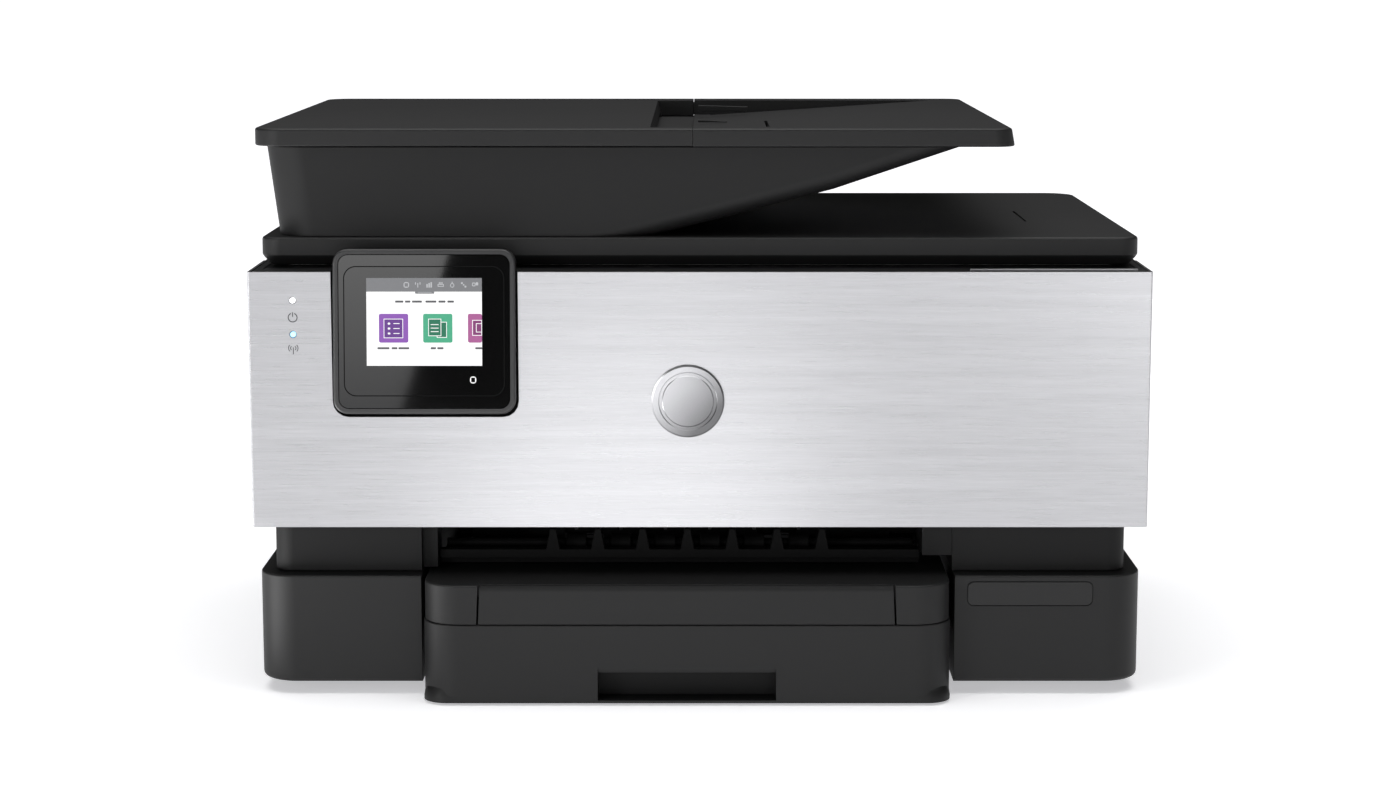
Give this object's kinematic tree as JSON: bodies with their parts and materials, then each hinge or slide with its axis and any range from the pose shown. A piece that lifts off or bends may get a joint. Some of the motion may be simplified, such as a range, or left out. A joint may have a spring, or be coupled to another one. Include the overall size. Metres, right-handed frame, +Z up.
{
  "type": "inkjet printer",
  "caption": "Desktop all-in-one inkjet printer with a paper drawer, flatbed scanner, sheet feeder on the lid and a tilting touch display in a brushed metal front.",
  "frame": {"origin": "on the table under the centre of the printer's bounding box", "axes": "+X to the right of someone facing the printer, +Y to its back, +Z up"},
  "size_m": [0.4394, 0.3424, 0.278],
  "materials": {
    "black_plastic": "satin, fine grain",
    "dark_plastic": "matt",
    "gloss_black": "gloss",
    "badge_black": "gloss",
    "brushed_metal": "brushed along the width",
    "badge_silver": "polished",
    "steel": "plain",
    "rubber": "matt",
    "white_plastic": "matt",
    "circuit_board": "satin",
    "glass": "clear",
    "screen_glass": "gloss",
    "light_white": "lit",
    "light_blue": "lit",
    "ink_black": "satin",
    "ink_cyan": "satin",
    "ink_magenta": "satin",
    "ink_yellow": "satin"
  },
  "bodies": {
    "base": {"base_housing": "black_plastic", "middle_housing": "black_plastic", "badge_plate": "badge_black", "foot_front_left": "rubber", "foot_front_right": "rubber", "foot_rear_left": "rubber", "foot_rear_right": "rubber", "power_inlet": "dark_plastic", "power_supply": "dark_plastic", "main_board": "circuit_board", "platen": "dark_plastic", "paper_guide": "dark_plastic", "feed_motor": "steel", "chassis_plate": "steel", "carriage_rail": "steel", "service_station": "dark_plastic", "carriage_belt": "rubber", "carriage_motor": "steel"},
    "rear_door": {"rear_access_door": "black_plastic"},
    "upper_unit": {"upper_housing": "black_plastic", "front_panel": "brushed_metal", "power_light": "light_white", "wireless_light": "light_blue", "round_badge": "badge_silver", "scanner_bed": "black_plastic", "scanner_glass": "glass", "lid_hinge_left": "steel", "lid_hinge_right": "steel"},
    "display": {"display_housing": "gloss_black", "touch_glass": "screen_glass"},
    "scan_head": {"scan_bar": "dark_plastic"},
    "lid": {"scanner_lid": "black_plastic", "backing_pad": "white_plastic", "adf_body": "black_plastic", "adf_tray": "black_plastic"},
    "feeder_cover": {"adf_cover": "black_plastic"},
    "feeder_guide_front": {"adf_guide_front": "black_plastic"},
    "feeder_guide_rear": {"adf_guide_rear": "black_plastic"},
    "feeder_pick": {"adf_pick_roller": "rubber"},
    "feeder_feed": {"adf_feed_roller": "rubber"},
    "print_carriage": {"carriage": "dark_plastic", "cartridge_black": "ink_black", "cartridge_cyan": "ink_cyan", "cartridge_magenta": "ink_magenta", "cartridge_yellow": "ink_yellow"},
    "belt_drive": {"drive_pulley": "steel"},
    "belt_idler": {"idler_pulley": "steel"},
    "feed_shaft": {"feed_roller": "rubber", "drive_gear": "white_plastic"},
    "exit_shaft": {"exit_roller": "rubber"},
    "star_shaft": {"star_wheels": "steel"},
    "pinion": {"motor_pinion": "steel"},
    "turn_shaft": {"turn_roller": "rubber"},
    "pick_lever": {"pick_arm": "dark_plastic"},
    "pick_wheel": {"pick_roller": "rubber"},
    "drawer": {"paper_drawer": "black_plastic", "output_shelf": "black_plastic"},
    "extension": {"shelf_extension": "black_plastic"},
    "guide_left": {"width_guide_left": "dark_plastic"},
    "guide_right": {"width_guide_right": "dark_plastic"}
  },
  "joints": [
    {"name": "rear_door_hinge", "type": "hinge", "parent": "base", "child": "rear_door", "pos_m": [0, 0.158, 0.016], "axis": [-1, 0, 0], "range_deg": [0, 75]},
    {"name": "unit_lift", "type": "hinge", "parent": "base", "child": "upper_unit", "pos_m": [0, 0.1505, 0.09], "axis": [-1, 0, 0], "range_deg": [0, 25]},
    {"name": "display_tilt", "type": "hinge", "parent": "upper_unit", "child": "display", "pos_m": [-0.1337, -0.1435, 0.214], "axis": [-1, 0, 0], "range_deg": [0, 35]},
    {"name": "scan_travel", "type": "slide", "parent": "upper_unit", "child": "scan_head", "axis": [1, 0, 0], "range_m": [0, 0.33]},
    {"name": "lid_hinge", "type": "hinge", "parent": "upper_unit", "child": "lid", "pos_m": [0, 0.1445, 0.214], "axis": [-1, 0, 0], "range_deg": [0, 70]},
    {"name": "feeder_cover_hinge", "type": "hinge", "parent": "lid", "child": "feeder_cover", "pos_m": [-0.2165, 0, 0.2706], "axis": [0, -1, 0], "range_deg": [0, 75]},
    {"name": "feeder_guide_front_slide", "type": "slide", "parent": "lid", "child": "feeder_guide_front", "axis": [0, 1, 0], "range_m": [0, 0.04]},
    {"name": "feeder_guide_rear_slide", "type": "slide", "parent": "lid", "child": "feeder_guide_rear", "axis": [0, -1, 0], "range_m": [0, 0.04]},
    {"name": "feeder_pick_turn", "type": "hinge", "parent": "lid", "child": "feeder_pick", "pos_m": [-0.062, 0, 0.256], "axis": [0, -1, 0], "continuous": true},
    {"name": "feeder_feed_turn", "type": "hinge", "parent": "lid", "child": "feeder_feed", "pos_m": [-0.112, 0, 0.256], "axis": [0, -1, 0], "continuous": true},
    {"name": "carriage_travel", "type": "slide", "parent": "base", "child": "print_carriage", "axis": [-1, 0, 0], "range_m": [0, 0.29]},
    {"name": "drive_pulley_turn", "type": "hinge", "parent": "base", "child": "belt_drive", "pos_m": [-0.196, -0.053, 0.1325], "axis": [0, 0, 1], "continuous": true},
    {"name": "idler_pulley_turn", "type": "hinge", "parent": "base", "child": "belt_idler", "pos_m": [0.196, -0.053, 0.1325], "axis": [0, 0, 1], "continuous": true},
    {"name": "feed_turn", "type": "hinge", "parent": "base", "child": "feed_shaft", "pos_m": [0, -0.068, 0.068], "axis": [1, 0, 0], "continuous": true},
    {"name": "exit_turn", "type": "hinge", "parent": "base", "child": "exit_shaft", "pos_m": [0, -0.115, 0.0695], "axis": [1, 0, 0], "continuous": true},
    {"name": "star_turn", "type": "hinge", "parent": "base", "child": "star_shaft", "pos_m": [0, -0.115, 0.0798], "axis": [1, 0, 0], "continuous": true},
    {"name": "pinion_turn", "type": "hinge", "parent": "base", "child": "pinion", "pos_m": [0.117, -0.05273, 0.05273], "axis": [1, 0, 0], "continuous": true},
    {"name": "turn_turn", "type": "hinge", "parent": "base", "child": "turn_shaft", "pos_m": [0, 0.121, 0.046], "axis": [1, 0, 0], "continuous": true},
    {"name": "pick_swing", "type": "hinge", "parent": "base", "child": "pick_lever", "pos_m": [0, 0.058, 0.056], "axis": [1, 0, 0], "range_deg": [-19, 0]},
    {"name": "pick_turn", "type": "hinge", "parent": "pick_lever", "child": "pick_wheel", "pos_m": [0, 0.0152, 0.0159], "axis": [1, 0, 0], "continuous": true},
    {"name": "drawer_slide", "type": "slide", "parent": "base", "child": "drawer", "axis": [0, -1, 0], "range_m": [0, 0.2]},
    {"name": "extension_slide", "type": "slide", "parent": "drawer", "child": "extension", "axis": [0, -1, 0], "range_m": [0, 0.055]},
    {"name": "guide_left_slide", "type": "slide", "parent": "drawer", "child": "guide_left", "axis": [1, 0, 0], "range_m": [0, 0.055]},
    {"name": "guide_right_slide", "type": "slide", "parent": "drawer", "child": "guide_right", "axis": [-1, 0, 0], "range_m": [0, 0.055]}
  ],
  "couplings": [
    {"joint": "feeder_guide_rear_slide", "follows": "feeder_guide_front_slide", "ratio": 1},
    {"joint": "feeder_feed_turn", "follows": "feeder_pick_turn", "ratio": 1.125},
    {"joint": "drive_pulley_turn", "follows": "carriage_travel", "rad_per_m": -222.2},
    {"joint": "idler_pulley_turn", "follows": "carriage_travel", "rad_per_m": -222.2},
    {"joint": "exit_turn", "follows": "feed_turn", "ratio": 1.3043},
    {"joint": "star_turn", "follows": "feed_turn", "ratio": -1.5385},
    {"joint": "pinion_turn", "follows": "feed_turn", "ratio": -3.3333},
    {"joint": "turn_turn", "follows": "feed_turn", "ratio": 0.3},
    {"joint": "pick_turn", "follows": "feed_turn", "ratio": 0.5},
    {"joint": "guide_right_slide", "follows": "guide_left_slide", "ratio": 1}
  ]
}
